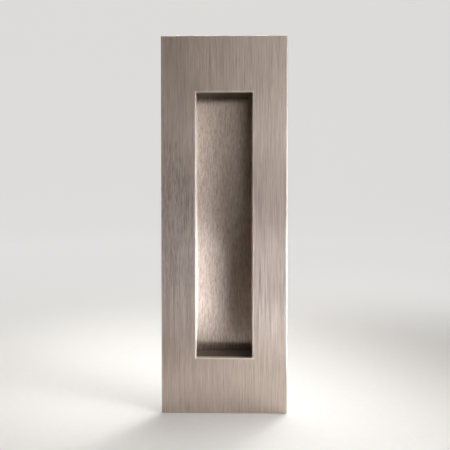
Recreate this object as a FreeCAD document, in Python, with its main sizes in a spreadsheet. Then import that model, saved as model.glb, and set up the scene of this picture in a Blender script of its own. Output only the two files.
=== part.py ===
# Rectangular flush pull for a pocket door: a brushed face plate with a box-shaped finger recess.
# Millimetres. Z runs up the plate, the face looks along -Y, and the back of the plate, which lies on
# the door, is the plane Y = 0. The origin is the middle of the plate on that plane.

import FreeCAD, Part
import math
import os
import Sketcher
from FreeCAD import Rotation, Vector

CLOSE = 1e-4
START, END, CENTRE = 1, 2, 3
ORIGIN_POINT = (-1, 1)
HORIZONTAL_AXIS = -1

# name, value, what it measures
SIZES = [
    ("plateLength", 180, "face plate, top to bottom"),
    ("plateWidth", 60, "face plate, side to side"),
    ("plateThickness", 2, "face plate"),
    ("plateCornerRadius", 0.7, "outer corners of the face plate"),
    ("plateEdgeBreak", 0.35, "chamfer round the front of the face plate"),
    ("windowEndBorder", 26.8, "face plate above and below the window"),
    ("windowSideBorder", 16.6, "face plate on each side of the window"),
    ("windowCornerRadius", 0.5, "corners of the window"),
    ("windowEdgeRound", 0.2, "worn-in rounding round the front of the window"),
    ("recessDepth", 14, "front of the plate to the floor of the recess"),
    ("recessReveal", 0.3, "recess walls stand back from the window by this much"),
    ("troughSheet", 1.2, "sheet that the trough is folded from"),
    ("troughBendRadius", 0.3, "inside of the trough's bends"),
    ("troughLip", 1.6, "trough runs on past its end plates"),
    ("endPlateThickness", 1.5, "plates that close the ends of the trough"),
    ("endPlateSideGap", 0.3, "end plate to the trough's wall, each side"),
    ("studInset", 13, "end of the face plate to the middle of the stud"),
    ("studDiameter", 4, "shank of a fixing stud"),
    ("studLength", 12, "stud, from the back of the plate"),
    ("studTipBreak", 0.6, "chamfer at the stud's tip"),
    ("studCollarDiameter", 5.5, "welded collar at the stud's foot"),
    ("studCollarHeight", 0.9, "welded collar at the stud's foot"),
    ("sideWeldLeg", 1.5, "stitch welds along the trough"),
    ("sideWeldLength", 12, "one stitch"),
    ("sideWeldInset", 24.6, "end of the trough to the middle of the last stitch"),
    ("sideWeldCount", 3, "stitches along each wall"),
    ("endWeldLeg", 1.2, "welds on the end plates"),
    ("endWeldLength", 16, "weld from an end plate to the face plate"),
    ("floorWeldLength", 10, "weld from an end plate to the floor of the trough"),
]

# Lengths that follow from the driving sizes
WINDOW_WIDTH = "(Sizes.plateWidth - 2 * Sizes.windowSideBorder)"
WINDOW_LENGTH = "(Sizes.plateLength - 2 * Sizes.windowEndBorder)"
HALF_INSIDE = f"({WINDOW_WIDTH} / 2 + Sizes.recessReveal)"
HALF_OUTSIDE = f"({HALF_INSIDE} + Sizes.troughSheet)"
FLOOR = "(Sizes.recessDepth - Sizes.plateThickness)"
END_INSIDE = f"({WINDOW_LENGTH} / 2 + Sizes.recessReveal)"
END_OUTSIDE = f"({END_INSIDE} + Sizes.endPlateThickness)"
HALF_TROUGH = f"({END_OUTSIDE} + Sizes.troughLip)"
LAST_STITCH = f"({HALF_TROUGH} - Sizes.sideWeldInset)"
STUD_HEIGHT = "(Sizes.plateLength / 2 - Sizes.studInset)"


def make_sizes(doc):
    sheet = doc.addObject("Spreadsheet::Sheet", "Sizes")
    for row, (alias, value, meaning) in enumerate(SIZES, start=1):
        sheet.set(f"A{row}", meaning)
        sheet.set(f"B{row}", str(value))
        sheet.setAlias(f"B{row}", alias)
    doc.recompute()


def make_body(doc, name):
    body = doc.addObject("PartDesign::Body", name)
    body.Label = name
    return body


def origin_part(body, role):
    for feature in body.Origin.OriginFeatures:
        if feature.Role == role:
            return feature
    raise ValueError(f"{body.Label} has no {role}")


def make_sketch(body, name, role):
    sketch = body.newObject("Sketcher::SketchObject", name)
    sketch.AttachmentSupport = [(origin_part(body, role), "")]
    sketch.MapMode = "FlatFace"
    return sketch


def add_loop(sketch, corners):
    """A closed run of straight lines, level and upright ones held so. Returns the index of the first."""
    first = sketch.GeometryCount
    count = len(corners)
    for here, there in zip(corners, corners[1:] + corners[:1]):
        sketch.addGeometry(Part.LineSegment(Vector(*here, 0), Vector(*there, 0)), False)
    for step in range(count):
        line = first + step
        after = first + (step + 1) % count
        sketch.addConstraint(Sketcher.Constraint("Coincident", line, END, after, START))
        (x0, y0), (x1, y1) = corners[step], corners[(step + 1) % count]
        if abs(y0 - y1) < CLOSE:
            sketch.addConstraint(Sketcher.Constraint("Horizontal", line))
        elif abs(x0 - x1) < CLOSE:
            sketch.addConstraint(Sketcher.Constraint("Vertical", line))
    return first


def tie(sketch, kind, name, formula, *where):
    """A named dimension of the sketch, bound to the sheet."""
    index = sketch.addConstraint(Sketcher.Constraint(kind, *where, 1.0))
    sketch.renameConstraint(index, name)
    sketch.setExpression(f"Constraints.{name}", formula)


def centred_rectangle(sketch, name, width, height):
    """A rectangle round the sketch's origin."""
    first = add_loop(sketch, [(-5, -5), (5, -5), (5, 5), (-5, 5)])
    sketch.addConstraint(Sketcher.Constraint("Symmetric", first, START, first + 2, START, *ORIGIN_POINT))
    tie(sketch, "DistanceX", f"{name}Width", width, first, START, first, END)
    tie(sketch, "DistanceY", f"{name}Height", height, first + 1, START, first + 1, END)


def pad(body, name, sketch, length, midplane=False):
    feature = body.newObject("PartDesign::Pad", name)
    feature.Profile = sketch
    feature.setExpression("Length", length)
    feature.Midplane = midplane
    return feature


def straight_edges(shape, direction, test):
    """Names of the straight edges that run along a direction and pass a test on their middle."""
    names = []
    for number, edge in enumerate(shape.Edges, start=1):
        ends = [vertex.Point for vertex in edge.Vertexes]
        if len(ends) != 2 or edge.Curve.TypeId != "Part::GeomLine":
            continue
        along = (ends[1] - ends[0]).cross(direction).Length < CLOSE
        if along and test((ends[0] + ends[1]) / 2):
            names.append(f"Edge{number}")
    return names


def rim_edges(shape, test):
    """Names of the edges whose every vertex passes a test."""
    names = []
    for number, edge in enumerate(shape.Edges, start=1):
        if all(test(vertex.Point) for vertex in edge.Vertexes):
            names.append(f"Edge{number}")
    return names


def dress(body, kind, name, base, edges, size_property, size):
    """A fillet or a chamfer on edges of the feature before it."""
    feature = body.newObject(kind, name)
    feature.Base = (base, edges)
    feature.setExpression(size_property, size)
    return feature


def fillet(body, name, base, edges, radius):
    return dress(body, "PartDesign::Fillet", name, base, edges, "Radius", radius)


def make_face_plate(doc):
    body = make_body(doc, "face_plate")
    outline = make_sketch(body, "PlateOutline", "XZ_Plane")
    centred_rectangle(outline, "plate", "Sizes.plateWidth", "Sizes.plateLength")
    centred_rectangle(outline, "window", WINDOW_WIDTH, WINDOW_LENGTH)
    sheet_metal = pad(body, "PlateSheet", outline, "Sizes.plateThickness")
    doc.recompute()

    through = Vector(0, 1, 0)
    side = sheet_metal.Shape.BoundBox.XMax
    corners = straight_edges(sheet_metal.Shape, through, lambda p: abs(p.x) > side - CLOSE)
    outer = fillet(body, "OuterCorners", sheet_metal, corners, "Sizes.plateCornerRadius")
    doc.recompute()

    border = doc.Sizes.windowSideBorder
    corners = straight_edges(outer.Shape, through, lambda p: abs(p.x) < side - border + CLOSE)
    inner = fillet(body, "WindowCorners", outer, corners, "Sizes.windowCornerRadius")
    doc.recompute()

    box = inner.Shape.BoundBox

    def on_window_rim(point):
        across = abs(point.x) < box.XMax - border + CLOSE
        return across and abs(point.z) < box.ZMax - doc.Sizes.windowEndBorder + CLOSE

    def on_front(point):
        return point.y < box.YMin + CLOSE

    rim = rim_edges(inner.Shape, lambda p: on_front(p) and not on_window_rim(p))
    broken = dress(body, "PartDesign::Chamfer", "OuterEdgeBreak", inner, rim, "Size", "Sizes.plateEdgeBreak")
    doc.recompute()

    rim = rim_edges(broken.Shape, lambda p: on_front(p) and on_window_rim(p))
    fillet(body, "WindowEdgeRound", broken, rim, "Sizes.windowEdgeRound")
    return body


def make_recess_trough(doc):
    """U-section: two walls that butt on the back of the plate, and the floor of the recess."""
    body = make_body(doc, "recess_trough")
    section = make_sketch(body, "TroughSection", "XY_Plane")
    corners = [(-15, 0), (-14, 0), (-14, 10), (14, 10), (14, 0), (15, 0), (15, 11), (-15, 11)]
    first = add_loop(section, corners)
    left_foot, left_wall, floor, right_foot, outside_floor = (first + n for n in (0, 1, 2, 4, 6))
    section.addConstraint(Sketcher.Constraint("PointOnObject", left_foot, START, HORIZONTAL_AXIS))
    section.addConstraint(Sketcher.Constraint("Symmetric", left_foot, END, right_foot, START, *ORIGIN_POINT))
    tie(section, "DistanceX", "insideWidth", f"2 * {HALF_INSIDE}", floor, START, floor, END)
    tie(section, "DistanceY", "insideDepth", FLOOR, left_wall, START, left_wall, END)
    tie(section, "DistanceX", "leftSheet", "Sizes.troughSheet", left_foot, START, left_foot, END)
    tie(section, "DistanceX", "rightSheet", "Sizes.troughSheet", right_foot, START, right_foot, END)
    tie(section, "DistanceY", "floorSheet", "Sizes.troughSheet", floor, END, outside_floor, START)
    folded = pad(body, "TroughSheet", section, f"2 * {HALF_TROUGH}", midplane=True)
    doc.recompute()

    upward = Vector(0, 0, 1)
    outside = folded.Shape.BoundBox.YMax
    inside = outside - doc.Sizes.troughSheet
    edges = straight_edges(folded.Shape, upward, lambda p: abs(p.y - inside) < CLOSE)
    inner = fillet(body, "InnerBends", folded, edges, "Sizes.troughBendRadius")
    doc.recompute()

    edges = straight_edges(inner.Shape, upward, lambda p: abs(p.y - outside) < CLOSE)
    fillet(body, "OuterBends", inner, edges, "Sizes.troughBendRadius + Sizes.troughSheet")
    return body


def make_end_plate(doc, name, sign, turn):
    """Plate between the trough's walls, its back corners rounded to clear the bends."""
    body = make_body(doc, name)
    outline = make_sketch(body, f"{name}_outline", "XY_Plane")
    first = add_loop(outline, [(-13, 0), (13, 0), (13, 10), (-13, 10)])
    outline.addConstraint(Sketcher.Constraint("Symmetric", first, START, first, END, *ORIGIN_POINT))
    width = f"2 * ({HALF_INSIDE} - Sizes.endPlateSideGap)"
    tie(outline, "DistanceX", "plateWidth", width, first, START, first, END)
    tie(outline, "DistanceY", "plateDepth", FLOOR, first + 1, START, first + 1, END)
    blank = pad(body, f"{name}_sheet", outline, "Sizes.endPlateThickness")
    doc.recompute()

    back = blank.Shape.BoundBox.YMax
    edges = straight_edges(blank.Shape, Vector(0, 0, 1), lambda p: p.y > back - CLOSE)
    fillet(body, f"{name}_corners", blank, edges, "Sizes.troughBendRadius + Sizes.endPlateSideGap")

    body.Placement.Rotation = Rotation(Vector(0, 1, 0), turn)
    body.setExpression("Placement.Base.z", f"{sign}{END_INSIDE}")
    return body


def make_fixing_stud(doc, name, sign):
    """Collar, shank and chamfered tip, turned about the stud's own axis."""
    body = make_body(doc, name)
    profile = make_sketch(body, f"{name}_profile", "YZ_Plane")
    corners = [(0, 0), (12, 0), (12, 1.5), (11.5, 2), (1, 2), (1, 3), (0, 3)]
    first = add_loop(profile, corners)
    axis_line, tip, tip_break, shank, step, collar = (first + n for n in range(6))
    profile.addConstraint(Sketcher.Constraint("Coincident", axis_line, START, *ORIGIN_POINT))
    tie(profile, "DistanceX", "length", "Sizes.studLength", axis_line, START, axis_line, END)
    tie(profile, "DistanceX", "tipBreakAlong", "Sizes.studTipBreak", tip_break, END, tip_break, START)
    tie(profile, "DistanceY", "tipBreakAcross", "Sizes.studTipBreak", tip_break, START, tip_break, END)
    tie(profile, "DistanceY", "shankRadius", "Sizes.studDiameter / 2", axis_line, START, shank, END)
    tie(profile, "DistanceX", "collarHeight", "Sizes.studCollarHeight", collar, END, collar, START)
    tie(profile, "DistanceY", "collarRadius", "Sizes.studCollarDiameter / 2", axis_line, START, collar, END)

    turned = body.newObject("PartDesign::Revolution", f"{name}_turned")
    turned.Profile = profile
    turned.ReferenceAxis = (profile, ["H_Axis"])
    turned.Angle = 360
    body.setExpression("Placement.Base.z", f"{sign}{STUD_HEIGHT}")
    return body


def bead_profile(body, name, leg, length):
    """Half a bead seen along its width, on the face of the plate: a straight seam, a side and round ends."""
    sketch = make_sketch(body, name, "XZ_Plane")
    straight = 4
    for sign in (1, -1):
        end = Part.Circle(Vector(0, sign * straight, 0), Vector(0, 0, 1), 1)
        sketch.addGeometry(Part.ArcOfCircle(end, *sorted((0, sign * math.pi / 2))), False)
    sketch.addGeometry(Part.LineSegment(Vector(0, -straight - 1, 0), Vector(0, straight + 1, 0)), False)
    sketch.addGeometry(Part.LineSegment(Vector(1, straight, 0), Vector(1, -straight, 0)), False)
    top, bottom, seam, side = range(4)
    for kind, *where in (
        ("Coincident", seam, END, top, END),
        ("Coincident", seam, START, bottom, START),
        ("Tangent", side, START, top, START),
        ("Tangent", side, END, bottom, END),
        ("Symmetric", seam, START, seam, END, *ORIGIN_POINT),
        ("Vertical", seam),
        ("Vertical", side),
        ("PointOnObject", top, CENTRE, seam),
        ("PointOnObject", bottom, CENTRE, seam),
    ):
        sketch.addConstraint(Sketcher.Constraint(kind, *where))
    tie(sketch, "DistanceX", "leg", leg, top, CENTRE, top, START)
    tie(sketch, "DistanceY", "length", length, seam, START, seam, END)
    return sketch


def add_bead(body, name, leg, length, place, turn=0, away=True):
    """Quarter-round bead with round ends, turned about its seam, which lies at a place on the plate."""
    profile = bead_profile(body, f"{name}Profile", leg, length)
    profile.AttachmentOffset.Rotation = Rotation(Vector(0, 0, 1), turn)
    for axis, formula in place.items():
        profile.setExpression(f"AttachmentOffset.Base.{axis}", formula)
    bead = body.newObject("PartDesign::Revolution", name)
    bead.Profile = profile
    bead.ReferenceAxis = (profile, ["V_Axis"])
    bead.Angle = 90
    bead.Reversed = not away
    return bead


def mirror_body(body, name, role):
    """Everything in the body so far, repeated on the other side of an origin plane."""
    both = body.newObject("PartDesign::Mirrored", name)
    both.TransformMode = "Whole shape"
    both.MirrorPlane = (origin_part(body, role), [""])
    body.Tip = both


def make_side_welds(doc):
    """Stitches in the corners of the trough's long walls and the back of the plate."""
    body = make_body(doc, "side_welds")
    lowest = {"x": HALF_OUTSIDE, "y": f"-{LAST_STITCH}"}
    stitch = add_bead(body, "Stitch", "Sizes.sideWeldLeg", "Sizes.sideWeldLength", lowest)
    doc.recompute()

    row = body.newObject("PartDesign::LinearPattern", "StitchRow")
    row.Originals = [stitch]
    row.Direction = (origin_part(body, "Z_Axis"), [""])
    row.setExpression("Length", f"2 * {LAST_STITCH}")
    row.setExpression("Occurrences", "Sizes.sideWeldCount")
    body.Tip = row
    doc.recompute()
    mirror_body(body, "BothWalls", "YZ_Plane")
    return body


def make_end_welds(doc):
    """Each end plate is held to the back of the face plate and to the floor of the trough."""
    body = make_body(doc, "end_welds")
    at_plate = {"y": END_OUTSIDE}
    add_bead(body, "PlateBead", "Sizes.endWeldLeg", "Sizes.endWeldLength", at_plate, turn=90)
    at_floor = {"y": END_OUTSIDE, "z": f"-{FLOOR}"}
    add_bead(body, "FloorBead", "Sizes.endWeldLeg", "Sizes.floorWeldLength", at_floor, turn=90, away=False)
    doc.recompute()
    mirror_body(body, "BothEnds", "XY_Plane")
    return body


def check_document(doc):
    for item in doc.Objects:
        if "Invalid" in item.State or "Error" in item.State:
            raise RuntimeError(f"{item.Label} failed: {item.State}")


def write_parts(bodies):
    os.makedirs("parts", exist_ok=True)
    for body in bodies:
        shape = body.Shape
        if shape.isNull() or not shape.isValid():
            raise RuntimeError(f"{body.Label} has no valid shape")
        print(body.Label, len(shape.Solids), "solids", round(shape.Volume, 2), "mm3", shape.BoundBox)
    for body in bodies:
        body.Shape.exportStep(f"parts/{body.Label}.step")


doc = FreeCAD.newDocument("PocketDoorPull")
make_sizes(doc)
bodies = [
    make_face_plate(doc),
    make_recess_trough(doc),
    make_end_plate(doc, "top_end_plate", "", 0),
    make_end_plate(doc, "bottom_end_plate", "-", 180),
    make_side_welds(doc),
    make_end_welds(doc),
    make_fixing_stud(doc, "upper_fixing_stud", ""),
    make_fixing_stud(doc, "lower_fixing_stud", "-"),
]
doc.recompute()
check_document(doc)
write_parts(bodies)
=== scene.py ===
import bpy
import bmesh
import math
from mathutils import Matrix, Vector, noise


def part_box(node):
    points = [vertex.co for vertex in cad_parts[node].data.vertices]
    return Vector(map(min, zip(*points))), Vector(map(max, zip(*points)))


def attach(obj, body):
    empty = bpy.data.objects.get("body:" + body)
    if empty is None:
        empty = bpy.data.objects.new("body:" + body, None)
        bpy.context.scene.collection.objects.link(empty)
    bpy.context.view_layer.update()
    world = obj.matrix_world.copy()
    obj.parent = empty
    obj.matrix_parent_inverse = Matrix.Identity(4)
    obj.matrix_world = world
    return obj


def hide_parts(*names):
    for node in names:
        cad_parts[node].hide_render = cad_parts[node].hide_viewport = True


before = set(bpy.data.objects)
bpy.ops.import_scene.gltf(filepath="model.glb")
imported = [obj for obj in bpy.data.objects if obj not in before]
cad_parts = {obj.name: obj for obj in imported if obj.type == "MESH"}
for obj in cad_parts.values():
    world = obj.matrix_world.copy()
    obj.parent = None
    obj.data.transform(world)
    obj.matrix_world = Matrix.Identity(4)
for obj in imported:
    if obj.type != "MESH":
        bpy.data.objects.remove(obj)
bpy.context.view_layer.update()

mm = 0.001
scene = bpy.context.scene


def boxOf(node):  # corners in millimetres
    return [[side / mm for side in corner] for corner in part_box(node)]


plateLow, plateHigh = boxOf("face_plate")
troughLow, troughHigh = boxOf("recess_trough")
endLow, endHigh = boxOf("top_end_plate")
recess = {"sheet": 1.2, "reveal": 0.3}  # mm
recess["wall"] = troughHigh[0] - recess["sheet"]  # inside of the long walls
recess["floor"] = troughHigh[1] - recess["sheet"]
recess["end"] = endLow[2]  # inside of the end plates
recess["windowX"] = recess["wall"] - recess["reveal"]
recess["windowZ"] = recess["end"] - recess["reveal"]
weldPlan = {  # mm
    "stitchLength": 12.0,
    "stitchSpacing": 42.0,
    "sideLeg": 1.5,
    "plateBeadLength": 16.0,
    "floorBeadLength": 10.0,
    "endLeg": 1.2,
    "studHeight": 77.0,
    "collarRadius": 2.75,
}
print("frame loaded:", len(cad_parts), "parts")


class Value:  # one output socket, with arithmetic that adds Math nodes
    def __init__(self, owner, socket):
        self.owner = owner
        self.socket = socket

    def math(self, operation, first, second=0.0, third=0.0):
        settings = {"operation": operation}
        return self.owner.add("ShaderNodeMath", settings, {0: first, 1: second, 2: third})

    def __add__(self, other):
        return self.math("ADD", self, other)

    def __radd__(self, other):
        return self.math("ADD", other, self)

    def __sub__(self, other):
        return self.math("SUBTRACT", self, other)

    def __rsub__(self, other):
        return self.math("SUBTRACT", other, self)

    def __mul__(self, other):
        return self.math("MULTIPLY", self, other)

    def __rmul__(self, other):
        return self.math("MULTIPLY", other, self)

    def __truediv__(self, other):
        return self.math("DIVIDE", self, other)

    def __rtruediv__(self, other):
        return self.math("DIVIDE", other, self)

    def __pow__(self, other):
        return self.math("POWER", self, other)

    def __abs__(self):
        return self.math("ABSOLUTE", self)

    def least(self, other):
        return self.math("MINIMUM", self, other)

    def most(self, other):
        return self.math("MAXIMUM", self, other)


class Tree:  # a node tree while it is put together
    def __init__(self, tree):
        self.tree = tree

    def add(self, kind, settings=None, values=None, output=0):
        node = self.tree.nodes.new(kind)
        for name, setting in (settings or {}).items():
            if name == "stops":
                ramp = node.color_ramp
                while len(ramp.elements) < len(setting):
                    ramp.elements.new(1.0)
                for element, (position, colour) in zip(ramp.elements, setting):
                    element.position = position
                    element.color = (*colour, 1.0)
            else:
                setattr(node, name, setting)
        for name, value in (values or {}).items():
            if isinstance(value, Value):
                self.tree.links.new(value.socket, node.inputs[name])
            else:
                node.inputs[name].default_value = value
        return Value(self, node.outputs[output])

    def outputs(self, value):
        return [Value(self, socket) for socket in value.socket.node.outputs]


class Finish(Tree):  # a metal finish, read in the object's own coordinates
    def __init__(self, name):
        self.material = bpy.data.materials.new(name)
        self.material.use_nodes = True
        super().__init__(self.material.node_tree)
        self.shader = self.tree.nodes["Principled BSDF"]
        self.place = self.add("ShaderNodeTexCoord", output=3)
        parted = self.add("ShaderNodeSeparateXYZ", None, {0: self.place})
        self.x, self.y, self.z = [axis * (1 / mm) for axis in self.outputs(parted)]  # in millimetres

    def grain(self, size, detail=2.0, rough=0.5, shift=(0.0, 0.0, 0.0), twist=0.0):
        # size is the length of the pattern along x, y and z, in millimetres
        scale = tuple(1.0 / (mm * side) for side in size)
        placing = {"Vector": self.place, "Scale": scale, "Location": shift}
        inputs = {"Vector": self.add("ShaderNodeMapping", None, placing), "Scale": 1.0}
        inputs.update({"Detail": detail, "Roughness": rough, "Distortion": twist})
        return self.add("ShaderNodeTexNoise", {"noise_dimensions": "3D"}, inputs)

    def fade(self, value, start, end, low=0.0, high=1.0):
        settings = {"interpolation_type": "SMOOTHSTEP"}
        inputs = {"Value": value, "From Min": start, "From Max": end, "To Min": low, "To Max": high}
        return self.add("ShaderNodeMapRange", settings, inputs)

    def mix(self, factor, first, second, blend="MIX"):
        settings = {"data_type": "RGBA", "blend_type": blend, "clamp_factor": True}
        return self.add("ShaderNodeMix", settings, {0: factor, 6: first, 7: second}, output=2)

    def away(self, across, along):  # distance in a plane from its two parts
        return (across * across + along * along) ** 0.5

    def bump(self, height, strength, distance):
        inputs = {"Height": height, "Strength": strength, "Distance": distance * mm}
        return self.add("ShaderNodeBump", None, inputs)

    def feed(self, links):
        for name, value in links.items():
            socket = self.shader.inputs[name]
            if isinstance(value, Value):
                self.tree.links.new(value.socket, socket)
            else:
                socket.default_value = value
        return self.material


def shade(red, green, blue):
    return (red, green, blue, 1.0)


def meshPiece(name, points, faces, material, node, sharp=35.0):
    mesh = bpy.data.meshes.new(name)
    mesh.from_pydata([Vector(point) * mm for point in points], [], faces)
    shape = bmesh.new()
    shape.from_mesh(mesh)
    bmesh.ops.remove_doubles(shape, verts=shape.verts, dist=1e-7)
    bmesh.ops.recalc_face_normals(shape, faces=shape.faces)
    shape.to_mesh(mesh)
    shape.free()
    return dressPiece(name, mesh, material, node, sharp)


def dressPiece(name, mesh, material, node, sharp=35.0):
    mesh.materials.clear()
    mesh.materials.append(material)
    mesh.polygons.foreach_set("use_smooth", [True] * len(mesh.polygons))
    mesh.set_sharp_from_angle(angle=math.radians(sharp))
    piece = bpy.data.objects.new(name, mesh)
    scene.collection.objects.link(piece)
    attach(piece, "root")
    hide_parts(node)
    return piece


# camera, floor and light
view = {
    "place": (5.02, -272.0, 16.84),  # mm
    "down": 1.281,  # degrees
    "left": 0.979,
    "lens": 45.45,
    "shift": -22 / 450,
}
cameraData = bpy.data.cameras.new("camera")
cameraData.lens = view["lens"]
cameraData.shift_y = view["shift"]
cameraData.clip_start = 0.01
camera = bpy.data.objects.new("camera", cameraData)
camera.location = Vector(view["place"]) * mm
camera.rotation_euler = (math.radians(90 - view["down"]), 0, math.radians(view["left"]))
scene.collection.objects.link(camera)
scene.camera = camera

studio = {
    "floor": -0.0902,  # metres
    "flat": 0.95,  # radius of the flat floor, which then turns up all round
    "sweep": 0.55,
    "height": 1.9,
    "paper": (0.80, 0.79, 0.775),
    "paintedFloorShading": (0.36, 0.31, 0.26),  # painted shade: the paper as the metal and bounce light see it, darker than it is
    "foot": (1.0, 0.96, 0.92),  # painted pool of light: the paper paler close to the pull's own foot, as the metal and bounce light see it
    "glow": (0.70, 0.69, 0.675),  # what the camera sees of it far off
    "fill": (0.05, 0.0495, 0.049),
    "footCentre": (40.0, -10.0),  # mm
    "footReach": (60.0, 170.0),
    "mirrorReach": (40.0, 320.0),  # how far behind the pull metal sees it as the camera does
    "glowReach": (90.0, 400.0),
    "sweepSteps": 16,
    "around": 96,
}
lamps = {  # where it hangs, what it points at, size across and up, power, spread, tint
    "keyLight": ((0.215, -0.115, 0.100), (0.0, 0.0, 0.0), (0.20, 0.40), 0.10, 60.0, "cool"),
    "sideLight": ((0.130, -0.055, 0.018), (0.0, 0.0, 0.0), (0.10, 0.13), 0.027, 60.0, "cool"),
    "lowLight": ((0.234, -0.135, -0.055), (0.0, 0.0, -0.02), (0.24, 0.06), 0.070, 60.0, "cool"),
    "baseLight": ((0.100, -0.054, -0.070), (0.0, 0.0, -0.055), (0.14, 0.036), 0.022, 60.0, "cool"),
    "frontLight": ((0.250, -0.530, 0.150), (0.0, 0.0, 0.0), (0.40, 0.46), 0.080, 60.0, "warm"),
    "topLight": ((0.06, 0.10, 0.55), (0.0, 0.03, 0.0), (0.40, 0.20), 0.22, 40.0, "plain"),
    "backLight": ((0.376, 0.706, 0.60), (0.0, 0.25, -0.09), (0.40, 0.40), 0.36, 36.0, "plain"),
    "wallLight": ((-0.03, 0.30, 1.10), (-0.1, 1.50, 0.05), (1.00, 0.40), 8.0, 120.0, "plain"),
    "leftWallLight": ((-0.28, 0.10, 1.10), (-1.4, 0.51, 0.05), (1.00, 0.40), 3.5, 120.0, "plain"),
    "rightWallLight": ((0.26, -0.14, 1.10), (1.3, -0.70, 0.05), (1.00, 0.40), 4.0, 120.0, "plain"),
}
tints = {"cool": (0.97, 0.985, 1.0), "warm": (1.0, 0.95, 0.90), "plain": (1.0, 0.99, 0.975)}


def makeStage():
    side = [(studio["flat"], studio["floor"])]
    for step in range(1, studio["sweepSteps"] + 1):
        turn = step / studio["sweepSteps"] * math.pi / 2
        across = studio["flat"] + studio["sweep"] * math.sin(turn)
        side.append((across, studio["floor"] + studio["sweep"] * (1 - math.cos(turn))))
    side.append((studio["flat"] + studio["sweep"], studio["height"]))
    around = studio["around"]
    points = [(0.0, 0.0, studio["floor"])]
    for across, up in side:
        for step in range(around):
            turn = step / around * 2 * math.pi
            points.append((across * math.cos(turn), across * math.sin(turn), up))
    faces = []
    for step in range(around):
        after = (step + 1) % around
        faces.append((0, 1 + step, 1 + after))
        for ring in range(len(side) - 1):
            low = 1 + ring * around
            high = low + around
            faces.append((low + step, high + step, high + after, low + after))
    mesh = bpy.data.meshes.new("floor")
    mesh.from_pydata(points, [], faces)
    mesh.polygons.foreach_set("use_smooth", [True] * len(mesh.polygons))
    paper = Finish("studioPaper")
    speck = paper.grain((3.0, 3.0, 3.0), 2.0, 0.5)
    darker = shade(*[part * 0.985 for part in studio["paper"]])
    tone = paper.mix(paper.fade(speck, 0.3, 0.7), shade(*studio["paper"]), darker)
    # painted shade and a painted pool of light: rays other than the camera's see the paper dark, and
    # pale near the foot
    footX, footY = studio["footCentre"]
    toPaintedPool = paper.away(paper.x - footX, paper.y - footY)
    foot = paper.fade(toPaintedPool, *studio["footReach"], 1.0, 0.0)
    paintedFloorShading = paper.mix(foot, shade(*studio["paintedFloorShading"]), shade(*studio["foot"]))
    rays = paper.outputs(paper.add("ShaderNodeLightPath"))
    seen = rays[0]  # Is Camera Ray
    mirrored = rays[3] * paper.fade(paper.y, *studio["mirrorReach"])  # Is Glossy Ray
    tone = paper.mix(seen.most(mirrored), paintedFloorShading, tone)
    far = seen * paper.fade(paper.away(paper.x, paper.y), *studio["glowReach"])
    none = shade(0.0, 0.0, 0.0)
    tone = paper.mix(far, tone, none)
    glow = paper.mix(far, none, shade(*studio["glow"]))
    links = {"Base Color": tone, "Roughness": 0.85, "Emission Color": glow, "Emission Strength": 1.0}
    mesh.materials.append(paper.feed(links))
    floor = bpy.data.objects.new("floor", mesh)
    scene.collection.objects.link(floor)


def softLight(name, place, target, size, power, spread, tint):
    data = bpy.data.lights.new(name, "AREA")
    data.shape = "ELLIPSE"
    data.size = size[0]
    data.size_y = size[1]
    data.energy = power
    data.spread = math.radians(spread)
    data.color = tints[tint]
    lamp = bpy.data.objects.new(name, data)
    lamp.location = place
    lamp.rotation_euler = (Vector(target) - Vector(place)).to_track_quat("-Z", "Y").to_euler()
    lamp.visible_camera = False
    scene.collection.objects.link(lamp)


def makeWorld():
    world = bpy.data.worlds.new("studio")
    world.use_nodes = True
    scene.world = world
    background = world.node_tree.nodes["Background"]
    background.inputs["Color"].default_value = shade(*studio["fill"])
    background.inputs["Strength"].default_value = 1.0


makeStage()
makeWorld()
for name, facts in lamps.items():
    softLight(name, *facts)
scene.view_settings.view_transform = "Standard"
print("camera, floor and light stand")


# finishes
brushing = {
    "warm": (0.58, 0.498, 0.448),
    "deep": (0.38, 0.320, 0.285),
    "roughness": 0.34,
    "plateLines": ((0.42, 22.0), (0.42, 8.0), (0.80, 28.0), (2.2, 45.0)),  # width and length, mm
    "troughLines": ((0.45, 9.0), (0.45, 16.0), (0.80, 22.0), (2.4, 50.0)),
    "weights": (0.44, 0.28, 0.18, 0.10),  # how much each of them counts
}


def brushLines(finish, sizes, seed):
    # lines along z of several sizes, each between 0 and 1
    lines = []
    for step, (width, length) in enumerate(sizes):
        shift = (seed + 3.1 * step, 7.7 * step, seed * 1.7 - step)
        streak = finish.grain((width, width, length), 2.0, 0.6, shift)
        lines.append(finish.fade(streak, 0.34, 0.66))
    return lines


heat = {
    "reach": 5.0,  # mm from the weld
    "rings": [
        (0.00, (0.42, 0.39, 0.37)),
        (0.16, (0.30, 0.33, 0.42)),
        (0.34, (0.36, 0.27, 0.30)),
        (0.55, (0.56, 0.42, 0.25)),
        (0.80, (0.60, 0.52, 0.42)),
        (1.00, (0.58, 0.53, 0.48)),
    ],
}


def heatTint(finish, base, spots):
    # blue, brown and straw rings that fade away from a weld
    near = finish.add("ShaderNodeValToRGB", {"stops": heat["rings"]}, {0: spots / heat["reach"]})
    strength = finish.fade(spots, 1.5, heat["reach"], 0.85, 0.0)
    return finish.mix(strength, base, near)


def platingOf(name, sizes, seed, hand, lift=0.0):
    # hand is how uneven the brushing is, lift makes it paler or darker
    finish = Finish(name)
    fine, *others = brushLines(finish, sizes, seed)
    lines = fine * brushing["weights"][0]
    for line, weight in zip(others, brushing["weights"][1:]):
        lines = lines + line * weight
    patch = finish.grain((9.0, 9.0, 30.0), 2.0, 0.5, (seed, 2.0, 5.0))
    tone = lines + (patch - 0.5) * hand + lift
    colour = finish.mix(tone, shade(*brushing["deep"]), shade(*brushing["warm"]))
    return finish, colour, lines, fine, patch


def weldAlong(finish):  # distance along z past the nearest of the three stitches
    first = abs(finish.z)
    second = abs(abs(finish.z) - weldPlan["stitchSpacing"])
    return first.least(second) - weldPlan["stitchLength"] / 2


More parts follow.
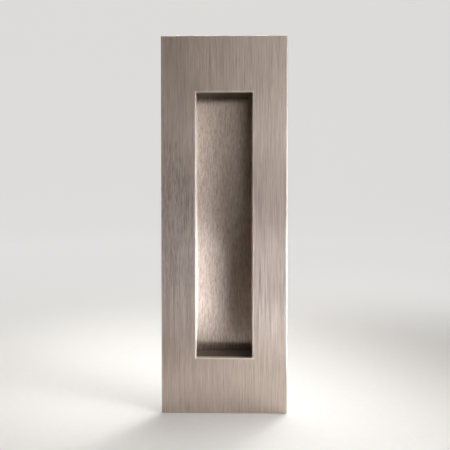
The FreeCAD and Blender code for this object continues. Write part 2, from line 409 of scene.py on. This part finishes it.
plateLook = {
    "rubbedEdgeHighlight": (0.80, 0.735, 0.665),  # painted highlight along the edges, also rubbed bare metal
    "leftStreakColour": (0.20, 0.18, 0.172),
    "leftStreakCentre": (-25.0, 6.0),  # centre of the darker streaks on the left of the face, mm
    "leftStreakReach": (5.0, 19.0),
    "millDark": (0.50, 0.48, 0.455),  # the back
    "millPale": (0.60, 0.58, 0.55),
    "anisotropic": 0.88,
    "bump": (0.40, 0.02),  # strength and depth in mm
}


def makePlateFinish():
    finish, colour, lines, fine, patch = platingOf("brushedPlate", brushing["plateLines"], 4.0, 0.08)
    # darker streaks in a tall oval on the left of the face
    leftStreakX, leftStreakZ = plateLook["leftStreakCentre"]
    toLeftStreaks = finish.away(finish.x - leftStreakX, (finish.z - leftStreakZ) * 0.32)
    leftStreakShare = finish.fade(toLeftStreaks, *plateLook["leftStreakReach"], 1.0, 0.0)
    leftStreakLines = finish.fade(finish.grain((0.42, 0.42, 5.0), 2.0, 0.6, (1.0, 6.0, 3.0)), 0.36, 0.64)
    # how much each streak there is darkened
    depth = leftStreakShare * (0.55 - leftStreakLines).most(0.0) * 0.9
    colour = finish.mix(depth, colour, shade(*plateLook["leftStreakColour"]))
    acrossWindow = abs(finish.x) - recess["windowX"]
    alongWindow = abs(finish.z) - recess["windowZ"]
    toWindow = acrossWindow.most(alongWindow)
    toEdge = (plateHigh[0] - abs(finish.x)).least(plateHigh[2] - abs(finish.z))
    rim = finish.fade(toWindow, 0.3, 0.9, 1.0, 0.0)
    level = finish.fade(alongWindow, -0.6, 0.0)  # 1 above and below the window, 0 beside it
    border = finish.fade(toEdge, 0.2, 0.8, 1.0, 0.0)
    # painted highlight: pale lines along the window, strongest above and below it, and along the outer
    # edges; partly rubbed bare metal
    rubbedEdgeHighlight = (rim * (level * 0.8 + 0.2)).most(border * 0.35)
    upright = (rim * (1.0 - level)).most(border)
    colour = finish.mix(rubbedEdgeHighlight * 0.85, colour, shade(*plateLook["rubbedEdgeHighlight"]))
    # the back: mill finish, with heat round the welds and studs
    back = finish.fade(finish.y, -0.15, -0.02)
    mill = finish.grain((0.5, 0.5, 7.0), 3.0, 0.6, (1.0, 9.0, 2.0))
    mill = finish.fade(mill, 0.3, 0.7)
    millColour = finish.mix(mill, shade(*plateLook["millDark"]), shade(*plateLook["millPale"]))
    besideStitch = (abs(finish.x) - troughHigh[0] - 0.9).most(0.0)
    stitch = finish.away(besideStitch, weldAlong(finish).most(0.0))
    acrossEnd = (abs(finish.x) - weldPlan["plateBeadLength"] / 2).most(0.0)
    endBead = finish.away(acrossEnd, (abs(finish.z) - endHigh[2] - 0.9).most(0.0))
    collar = finish.away(finish.x, abs(finish.z) - weldPlan["studHeight"]) - weldPlan["collarRadius"]
    spots = stitch.least(endBead).least(collar).most(0.0)
    spots = spots + (finish.grain((1.5, 1.5, 1.5), 2.0) - 0.5) * 1.2
    backColour = heatTint(finish, millColour, spots)
    colour = finish.mix(back, colour, backColour)
    rough = brushing["roughness"] + (fine - 0.5) * 0.055 + (patch - 0.5) * 0.02
    rough = rough + upright * 0.14 + back * 0.12
    return finish.feed({
        "Base Color": colour,
        "Metallic": 1.0,
        "Roughness": rough,
        "Anisotropic": plateLook["anisotropic"],
        "Normal": finish.bump(lines * (1.0 - rim * 0.8), *plateLook["bump"]),
    })


troughLook = {
    "fleck": (0.74, 0.665, 0.605),
    "millDark": (0.38, 0.36, 0.34),  # the outside
    "millPale": (0.49, 0.47, 0.445),
    "anisotropic": 1.0,
    "bump": (0.45, 0.03),
}


def makeTroughFinish():
    sizes = brushing["troughLines"]
    finish, colour, lines, fine, patch = platingOf("brushedTrough", sizes, 11.0, 0.2, -0.38)
    flecks = finish.fade(finish.grain((0.6, 0.6, 4.5), 2.0, 0.6, (8.0, 3.0, 1.0), 1.2), 0.3, 0.7)
    colour = finish.mix(flecks * 0.6, colour, shade(*troughLook["fleck"]))
    deepest = finish.fade(finish.y, recess["floor"] + 0.1, recess["floor"] + 0.6, 1.0, 0.0)
    widest = finish.fade(abs(finish.x), recess["wall"] + 0.05, recess["wall"] + 0.5, 1.0, 0.0)
    inside = widest * deepest
    mill = finish.grain((0.6, 0.6, 8.0), 3.0, 0.6, (4.0, 1.0, 2.0))
    mill = finish.fade(mill, 0.3, 0.7)
    millColour = finish.mix(mill, shade(*troughLook["millDark"]), shade(*troughLook["millPale"]))
    stitch = finish.away(finish.y.most(0.0), weldAlong(finish).most(0.0))
    spots = stitch + (finish.grain((1.5, 1.5, 1.5), 2.0, 0.5, (3.0, 3.0, 3.0)) - 0.5) * 1.2
    outsideColour = heatTint(finish, millColour, spots.most(0.0))
    colour = finish.mix(inside, outsideColour, colour)
    rough = brushing["roughness"] + 0.015 + (fine - 0.5) * 0.05 + (patch - 0.5) * 0.05
    rough = rough + (1.0 - inside) * 0.17
    return finish.feed({
        "Base Color": colour,
        "Metallic": 1.0,
        "Roughness": rough,
        "Anisotropic": troughLook["anisotropic"],
        "Normal": finish.bump(lines * 0.8 + patch * 0.5, *troughLook["bump"]),
    })


# painted shade: the end plates are coloured far darker than their sheet, standing for the shade at the
# ends of the recess
endLook = {
    "shadedDark": (0.145, 0.118, 0.094),
    "shadedPale": (0.205, 0.170, 0.138),
    # painted shade in the crease by the recess floor
    "corner": (0.14, 0.115, 0.09),
    "metallic": 0.6,
    "roughness": 0.62,
    "bump": (0.3, 0.02),
}


def makeEndFinish():
    finish = Finish("endPlateSheet")
    cut = finish.grain((7.0, 0.35, 0.35), 3.0, 0.6, (2.0, 2.0, 2.0))
    patch = finish.grain((3.0, 3.0, 3.0), 3.0, 0.6, (6.0, 2.0, 2.0))
    tone = finish.fade(cut * 0.6 + patch * 0.4, 0.35, 0.65)
    colour = finish.mix(tone, shade(*endLook["shadedDark"]), shade(*endLook["shadedPale"]))
    # painted shade: darker towards the floor of the recess
    corner = finish.fade(finish.y, recess["floor"] - 3.0, recess["floor"])
    colour = finish.mix(corner * 0.25, colour, shade(*endLook["corner"]))
    rough = endLook["roughness"] + (cut - 0.5) * 0.25 + (patch - 0.5) * 0.12
    bump = finish.bump(cut, *endLook["bump"])
    links = {"Base Color": colour, "Metallic": endLook["metallic"], "Roughness": rough, "Normal": bump}
    return finish.feed(links)


weldLook = {
    "flow": [  # blue, grey and straw along the bead
        (0.25, (0.30, 0.33, 0.42)),
        (0.42, (0.46, 0.43, 0.41)),
        (0.58, (0.58, 0.55, 0.51)),
        (0.75, (0.55, 0.43, 0.29)),
    ],
    "scale": (0.24, 0.22, 0.21),
    "roughness": 0.30,
    "bump": (0.35, 0.03),
}


def makeWeldFinish():
    finish = Finish("weldMetal")
    scale = finish.grain((0.5, 0.5, 0.5), 3.0, 0.6)
    flow = finish.grain((2.2, 2.2, 3.0), 2.0, 0.5, (5.0, 1.0, 1.0))
    ramp = finish.add("ShaderNodeValToRGB", {"stops": weldLook["flow"]}, {0: flow})
    colour = finish.mix(finish.fade(scale, 0.5, 0.75), ramp, shade(*weldLook["scale"]))
    rough = weldLook["roughness"] + (scale - 0.5) * 0.3 + (flow - 0.5) * 0.2
    bump = finish.bump(scale, *weldLook["bump"])
    return finish.feed({"Base Color": colour, "Metallic": 1.0, "Roughness": rough, "Normal": bump})


studLook = {
    "bright": (0.66, 0.65, 0.63),
    "worn": (0.50, 0.49, 0.475),
    "hot": (0.46, 0.36, 0.25),
    "roughness": 0.27,
    "bump": (0.15, 0.01),
}


def makeStudFinish():
    finish = Finish("studSteel")
    wear = finish.grain((0.9, 2.5, 0.9), 3.0, 0.6)
    speck = finish.grain((0.25, 0.25, 0.25), 2.0, 0.6, (3.0, 3.0, 1.0))
    worn = finish.fade(wear, 0.35, 0.7)
    colour = finish.mix(worn, shade(*studLook["bright"]), shade(*studLook["worn"]))
    hot = finish.fade(finish.y + (wear - 0.5) * 1.2, 0.6, 2.6, 0.75, 0.0)
    colour = finish.mix(hot, colour, shade(*studLook["hot"]))
    rough = studLook["roughness"] + (wear - 0.5) * 0.25 + hot * 0.1
    bump = finish.bump(speck, *studLook["bump"])
    return finish.feed({"Base Color": colour, "Metallic": 1.0, "Roughness": rough, "Normal": bump})


plateFinish = makePlateFinish()
troughFinish = makeTroughFinish()
endFinish = makeEndFinish()
weldFinish = makeWeldFinish()
studFinish = makeStudFinish()
for name in ("top_end_plate", "bottom_end_plate"):
    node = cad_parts[name]
    if node.data.materials:
        node.data.materials[0] = endFinish
    else:
        node.data.materials.append(endFinish)
print("finishes mixed")


# face plate
facePlate = {
    "windowCorner": 0.5,  # mm
    "outerCorner": 0.7,
    "edgeBreak": 0.35,
    "windowRound": 0.3,
    "rimLoops": (0.5, 0.9, 1.6),  # loops of points on the face, from the window
    "edgeLoops": (3.0, 1.2, 0.8, 0.55),  # and from the outer edge
    "longSteps": 110,
    "shortSteps": 34,
    "cornerSteps": 6,
    "rimSteps": 7,
    "edgeSteps": 5,
}


def roundedLoop(halfX, halfZ, radius, shape):
    # anticlockwise seen from the front, the same number of points for every loop
    loop = []
    corners = [(1, 1), (-1, 1), (-1, -1), (1, -1)]
    for index, (sideX, sideZ) in enumerate(corners):
        centreX = sideX * (halfX - radius)
        centreZ = sideZ * (halfZ - radius)
        start = index * math.pi / 2
        for step in range(shape["cornerSteps"] + 1):
            turn = start + step / shape["cornerSteps"] * math.pi / 2
            loop.append((centreX + radius * math.cos(turn), centreZ + radius * math.sin(turn)))
        nextX, nextZ = corners[(index + 1) % 4]
        endX = nextX * (halfX - radius) + radius * math.cos(start + math.pi / 2)
        endZ = nextZ * (halfZ - radius) + radius * math.sin(start + math.pi / 2)
        startX, startZ = loop[-1]
        steps = shape["shortSteps"] if index in (0, 2) else shape["longSteps"]
        for step in range(1, steps):
            part = step / steps
            loop.append((startX + (endX - startX) * part, startZ + (endZ - startZ) * part))
    return loop


def blendBetween(low, high, part):
    return low + (high - low) * part


def wander(x, z, size, seed):
    return noise.noise(Vector((x / size, seed, z / size)))


def makeFacePlate():
    front = plateLow[1]
    back = plateHigh[1]
    halfX = plateHigh[0]
    halfZ = plateHigh[2]
    edge = facePlate["edgeBreak"]
    rim = facePlate["windowRound"]
    rows = [("in", 0.0, back), ("in", 0.0, blendBetween(back, front, 0.4)), ("in", 0.0, front + rim)]
    for step in range(1, facePlate["rimSteps"] + 1):
        turn = step / facePlate["rimSteps"] * math.pi / 2
        rows.append(("in", rim - rim * math.cos(turn), front + rim - rim * math.sin(turn)))
    for gap in facePlate["rimLoops"]:
        rows.append(("in", gap, front))
    for gap in facePlate["edgeLoops"]:
        rows.append(("out", gap, front))
    for step in range(facePlate["edgeSteps"] + 1):
        turn = step / facePlate["edgeSteps"] * math.pi / 2
        rows.append(("out", edge - edge * math.sin(turn), front + edge - edge * math.cos(turn)))
    rows.append(("out", 0.0, blendBetween(back, front, 0.3)))
    rows.append(("out", 0.0, back))
    rows.append(("out", 1.0, back))
    points = []
    for kind, gap, y in rows:
        if kind == "in":
            corner = facePlate["windowCorner"] + gap
            loop = roundedLoop(recess["windowX"] + gap, recess["windowZ"] + gap, corner, facePlate)
        else:
            corner = max(facePlate["outerCorner"] - gap, 0.02)
            loop = roundedLoop(halfX - gap, halfZ - gap, corner, facePlate)
        for x, z in loop:
            points.append((x, y, z))
    count = len(points) // len(rows)
    faces = []
    for row in range(len(rows)):
        base = row * count
        above = (row + 1) % len(rows) * count
        for step in range(count):
            after = (step + 1) % count
            faces.append((base + step, base + after, above + after, above + step))
    return meshPiece("facePlate", points, faces, plateFinish, "face_plate")


makeFacePlate()
print("face plate made")


# recess trough
trough = {
    "bend": 0.3,  # mm
    "wave": 0.055,  # how far the hand-finished floor rises and falls
    "waves": ((1.6, 0.55, 9.0, 8.0, 1.0), (2.5, 1.0, 6.0, 2.0, 0.5)),  # across, along, size, seed, share
    "rows": 132,
    "floorSteps": 40,
    "wallSteps": 12,
    "bendSteps": 8,
}


def makeTrough():
    low = troughLow
    high = troughHigh
    sheet = recess["sheet"]
    bend = trough["bend"]
    innerX = recess["wall"]
    floorY = recess["floor"]
    section = []  # inside point, outside point, how much the wave moves the inside
    for step in range(trough["wallSteps"]):
        y = (floorY - bend) * step / trough["wallSteps"]
        section.append(((-innerX, y), (low[0], y), 0.0))
    for step in range(trough["bendSteps"] + 1):
        turn = step / trough["bendSteps"] * math.pi / 2
        centre = (-innerX + bend, floorY - bend)
        inside = (centre[0] - bend * math.cos(turn), centre[1] + bend * math.sin(turn))
        reach = bend + sheet
        outside = (centre[0] - reach * math.cos(turn), centre[1] + reach * math.sin(turn))
        section.append((inside, outside, 0.0))
    span = innerX - bend
    for step in range(1, trough["floorSteps"]):
        x = -span + 2 * span * step / trough["floorSteps"]
        section.append(((x, floorY), (x, high[1]), min(1.0, (span - abs(x)) / 2.5)))
    mirrored = []
    for inside, outside, move in section[:trough["wallSteps"] + trough["bendSteps"] + 1]:
        mirrored.append(((-inside[0], inside[1]), (-outside[0], outside[1]), move))
    section = section + mirrored[::-1]
    points = []
    rows = trough["rows"]
    for row in range(rows + 1):
        z = low[2] + (high[2] - low[2]) * row / rows
        for inside, outside, move in section:
            lift = 0.0
            if move > 0:
                for across, along, size, seed, share in trough["waves"]:
                    lift += share * wander(inside[0] * across, z * along, size, seed)
                lift *= trough["wave"] * move
            points.append((inside[0], inside[1] + lift, z))
        for inside, outside, move in section:
            points.append((outside[0], outside[1], z))
    count = len(section)
    faces = []
    for row in range(rows):
        base = row * 2 * count
        above = base + 2 * count
        for first in (0, count):
            for step in range(first, first + count - 1):
                faces.append((base + step, base + step + 1, above + step + 1, above + step))
        for step in (0, count - 1):
            faces.append((base + step, base + count + step, above + count + step, above + step))
    for base in (0, rows * 2 * count):
        for step in range(count - 1):
            faces.append((base + step, base + step + 1, base + count + step + 1, base + count + step))
    return meshPiece("recessTrough", points, faces, troughFinish, "recess_trough")


makeTrough()
print("recess trough made")


# weld beads and studs, by geometry nodes
class Pattern(Tree):  # a geometry tree with named inputs
    def __init__(self, name, sizes):
        tree = bpy.data.node_groups.new(name, "GeometryNodeTree")
        super().__init__(tree)
        tree.interface.new_socket("Geometry", in_out="INPUT", socket_type="NodeSocketGeometry")
        tree.interface.new_socket("Geometry", in_out="OUTPUT", socket_type="NodeSocketGeometry")
        kinds = {float: "NodeSocketFloat", int: "NodeSocketInt", tuple: "NodeSocketVector"}
        for label, size in sizes.items():
            kind = kinds.get(type(size), "NodeSocketMaterial")
            socket = tree.interface.new_socket(label, in_out="INPUT", socket_type=kind)
            socket.default_value = size
        entry = tree.nodes.new("NodeGroupInput")
        self.sizes = {socket.name: Value(self, socket) for socket in entry.outputs if socket.name}

    def unitBar(self, around, along):  # a closed round bar of radius 1 and length 1 about z
        inputs = {"Vertices": around, "Side Segments": along, "Fill Segments": 1}
        inputs.update({"Radius": 1.0, "Depth": 1.0})
        bar = self.add("GeometryNodeMeshCylinder", {"fill_type": "TRIANGLE_FAN"}, inputs)
        position = self.add("GeometryNodeInputPosition")
        point = self.outputs(self.add("ShaderNodeSeparateXYZ", None, {0: position}))
        turn = point[0].math("ARCTAN2", point[1], point[0])
        out = (point[0] * point[0] + point[1] * point[1]) ** 0.5
        return bar, turn, out, point[2]

    def moveTo(self, geometry, x, y, z):
        place = self.add("ShaderNodeCombineXYZ", None, {0: x, 1: y, 2: z})
        return self.add("GeometryNodeSetPosition", None, {"Geometry": geometry, "Position": place})

    def join(self, *parts):
        node = self.tree.nodes.new("GeometryNodeJoinGeometry")
        for part in reversed(parts):
            self.tree.links.new(part.socket, node.inputs[0])
        return Value(self, node.outputs[0])

    def close(self, geometry, material):
        real = self.add("GeometryNodeRealizeInstances", None, {"Geometry": geometry})
        painted = self.add("GeometryNodeSetMaterial", None, {"Geometry": real, "Material": material})
        leave = self.tree.nodes.new("NodeGroupOutput")
        self.tree.links.new(painted.socket, leave.inputs[0])
        return self.tree


def grow(tree, sizes):  # the tree's result as a plain mesh
    holder = bpy.data.objects.new("holder", bpy.data.meshes.new("holder"))
    scene.collection.objects.link(holder)
    modifier = holder.modifiers.new("pattern", "NODES")
    modifier.node_group = tree
    for item in tree.interface.items_tree:
        if item.in_out == "INPUT" and item.name in sizes:
            modifier[item.identifier] = sizes[item.name]
    graph = bpy.context.evaluated_depsgraph_get()
    mesh = bpy.data.meshes.new_from_object(holder.evaluated_get(graph))
    holder.modifiers.remove(modifier)
    bpy.data.objects.remove(holder)
    return mesh


bead = {
    "Leg": weldPlan["sideLeg"] * mm,
    "Bead Length": weldPlan["stitchLength"] * mm,
    "Ripple Pitch": 0.8 * mm,
    "Ripple Height": 0.07 * mm,
    "Unevenness": 0.10 * mm,
    "Count": 3,
    "Spacing": weldPlan["stitchSpacing"] * mm,
    "Seam": (troughHigh[0] * mm, 0.0, 0.0),
    "Turn": (0.0, 0.0, 0.0),
    "Material": weldFinish,
}


beadSteps = (22, 90)  # round the bead and along it


def makeBeadTree():
    pattern = Pattern("weldBeads", bead)
    size = pattern.sizes
    bar, turn, out, along = pattern.unitBar(*beadSteps)
    reach = abs(along * 2.0)
    taper = ((1.0 - reach ** 7.0).most(0.0) ** 0.5).most(0.12)
    lean = (turn - math.pi / 4).math("COSINE", turn - math.pi / 4)
    phase = along * size["Bead Length"] / size["Ripple Pitch"] + lean * 0.5
    scallop = abs(phase.math("SINE", phase * math.pi)) ** 0.6
    radius = size["Leg"] * 0.72 - size["Ripple Height"] * (1.0 - scallop)
    centre = size["Leg"] * 0.28
    legOne = (centre + radius * out * turn.math("COSINE", turn)).most(0.0) * taper
    legTwo = (centre + radius * out * turn.math("SINE", turn)).most(0.0) * taper
    crown = (legOne * legTwo) / (size["Leg"] * size["Leg"]) * 1.6
    named = pattern.add("GeometryNodeStoreNamedAttribute", {"data_type": "FLOAT", "domain": "POINT"},
                        {"Geometry": bar, "Name": "crown", "Value": crown})
    shaped = pattern.moveTo(named, legOne, legTwo, along * size["Bead Length"])
    merging = {"Geometry": shaped, "Distance": 0.004 * mm}
    whole = pattern.add("GeometryNodeMergeByDistance", None, merging)
    first = size["Spacing"] * (size["Count"] - 1.0) * -0.5
    start = pattern.add("ShaderNodeCombineXYZ", None, {2: first})
    step = pattern.add("ShaderNodeCombineXYZ", None, {2: size["Spacing"]})
    row = pattern.add("GeometryNodeMeshLine", {"mode": "OFFSET"},
                      {"Count": size["Count"], "Start Location": start, "Offset": step})
    turnedRow = pattern.add("GeometryNodeInstanceOnPoints", None,
                            {"Points": row, "Instance": whole, "Rotation": size["Turn"]})
    seam = {"Geometry": turnedRow, "Translation": size["Seam"]}
    placed = pattern.add("GeometryNodeTransform", None, seam)
    acrossTurn = {"Geometry": placed, "Rotation": (0.0, math.pi, 0.0)}
    other = pattern.add("GeometryNodeTransform", None, acrossTurn)
    real = pattern.add("GeometryNodeRealizeInstances", None, {"Geometry": pattern.join(placed, other)})
    kind = {"data_type": "FLOAT"}
    crownHere = pattern.add("GeometryNodeInputNamedAttribute", kind, {"Name": "crown"})
    grain = {"Scale": 700.0, "Detail": 1.0}
    rough = pattern.add("ShaderNodeTexNoise", {"noise_dimensions": "3D"}, grain)
    push = (rough - 0.55) * crownHere * size["Unevenness"] * 2.0
    outward = pattern.add("ShaderNodeVectorMath", {"operation": "SCALE"},
                          {0: pattern.add("GeometryNodeInputNormal"), "Scale": push})
    uneven = pattern.add("GeometryNodeSetPosition", None, {"Geometry": real, "Offset": outward})
    return pattern.close(uneven, size["Material"])


beadTree = makeBeadTree()
plateBead = {
    **bead,
    "Leg": weldPlan["endLeg"] * mm,
    "Bead Length": weldPlan["plateBeadLength"] * mm,
    "Ripple Pitch": 0.7 * mm,
    "Count": 1,
    "Seam": (0.0, 0.0, endHigh[2] * mm),
    "Turn": (0.0, -math.pi / 2, 0.0),
}
floorBead = {
    **plateBead,
    "Bead Length": weldPlan["floorBeadLength"] * mm,
    "Seam": (0.0, recess["floor"] * mm, endHigh[2] * mm),
    "Turn": (math.pi, -math.pi / 2, 0.0),
}
dressPiece("sideWeldBeads", grow(beadTree, bead), weldFinish, "side_welds", sharp=60.0)
dressPiece("endPlateBeads", grow(beadTree, plateBead), weldFinish, "end_welds", sharp=60.0)
dressPiece("endFloorBeads", grow(beadTree, floorBead), weldFinish, "end_welds", sharp=60.0)
print("weld beads laid")


stud = {
    "Shank Radius": 2.0 * mm,
    "Root Radius": 1.64 * mm,
    "Pitch": 0.7 * mm,
    "Length": 12.0 * mm,
    "Tip Break": 0.6 * mm,
    "Collar Radius": weldPlan["collarRadius"] * mm,
    "Collar Height": 0.9 * mm,
    "Place": (0.0, 0.0, weldPlan["studHeight"] * mm),
    "Material": studFinish,
}


studSteps = (30, 170)
collarSteps = (40, 10)


def makeStudTree():
    pattern = Pattern("fixingStud", stud)
    size = pattern.sizes
    bar, turn, out, along = pattern.unitBar(*studSteps)
    up = (along + 0.5) * size["Length"]
    phase = up / size["Pitch"] - turn / (2 * math.pi)
    flank = abs(phase.math("FRACT", phase) * 2.0 - 1.0)
    crest = ((flank - 0.12) * 1.32).most(0.0).least(1.0)
    plain = ((up - size["Collar Height"] - 0.8 * mm) / (0.7 * mm)).most(0.0).least(1.0)
    depth = (size["Shank Radius"] - size["Root Radius"]) * plain
    radius = size["Shank Radius"] - depth * (1.0 - crest)
    radius = radius.least(size["Shank Radius"] - size["Tip Break"] + (size["Length"] - up))
    across = radius * out * turn.math("COSINE", turn)
    rise = radius * out * turn.math("SINE", turn) * -1.0
    shank = pattern.moveTo(bar, across, up, rise)
    collar, turn, out, along = pattern.unitBar(*collarSteps)
    part = along + 0.5
    wobble = 1.0 + turn.math("SINE", turn * 5.0) * 0.05
    swell = ((1.0 - part * part).most(0.0) ** 0.5) * wobble
    swelling = (size["Collar Radius"] - size["Shank Radius"]) * 0.95
    radius = size["Shank Radius"] * 0.98 + swelling * swell
    across = radius * out * turn.math("COSINE", turn)
    rise = radius * out * turn.math("SINE", turn) * -1.0
    flash = pattern.moveTo(collar, across, part * size["Collar Height"], rise)
    whole = pattern.join(shank, flash)
    placing = {"Geometry": whole, "Translation": size["Place"]}
    placed = pattern.add("GeometryNodeTransform", None, placing)
    return pattern.close(placed, size["Material"])


studTree = makeStudTree()
lowStud = {**stud, "Place": (0.0, 0.0, -weldPlan["studHeight"] * mm)}
dressPiece("upperStud", grow(studTree, stud), studFinish, "upper_fixing_stud", sharp=40.0)
dressPiece("lowerStud", grow(studTree, lowStud), studFinish, "lower_fixing_stud", sharp=40.0)
print("studs threaded")
